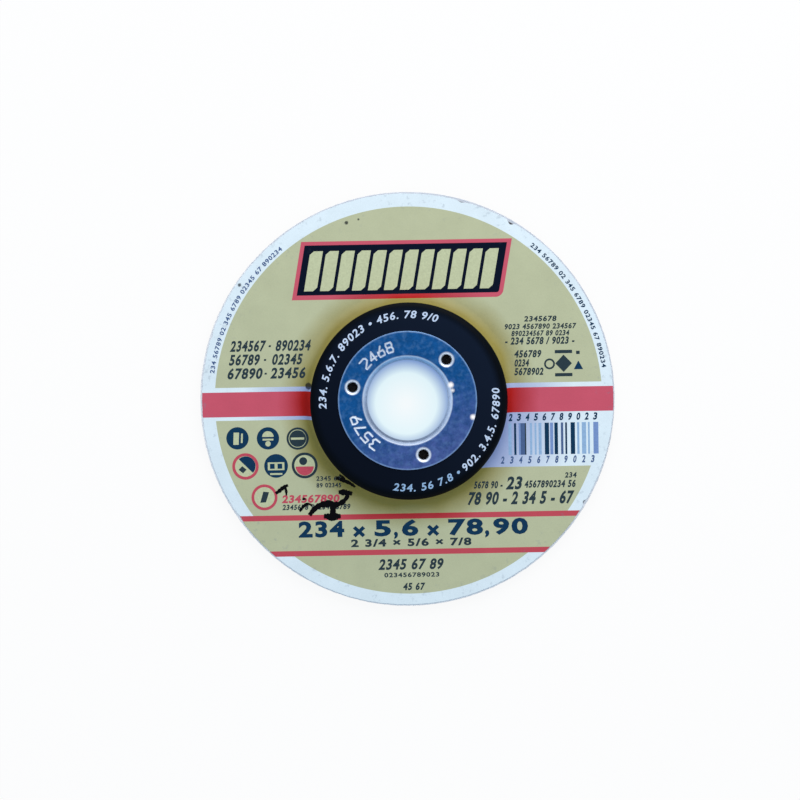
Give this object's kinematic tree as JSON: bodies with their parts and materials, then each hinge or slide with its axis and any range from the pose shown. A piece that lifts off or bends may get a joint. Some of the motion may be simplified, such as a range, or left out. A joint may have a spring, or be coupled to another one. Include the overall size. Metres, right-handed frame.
{
  "type": "grinding disc",
  "caption": "Round bonded abrasive disc with a raised hub, a printed label on its back face and a pressed steel ring that lines its bore.",
  "frame": {"origin": "on the disc's axis, in the plane of its front (grinding) face", "axes": "+Z along the axis towards the raised hub and the label, +Y towards the top of the label's print"},
  "size_m": [0.115, 0.115, 0.0082],
  "materials": {
    "abrasive": "gritty, resin bonded",
    "label_print": "satin varnished print",
    "ring_steel": "bright rolled sheet"
  },
  "bodies": {
    "root": {"abrasive_body": "abrasive", "label": "label_print", "bore_ring": "ring_steel"}
  },
  "joints": []
}
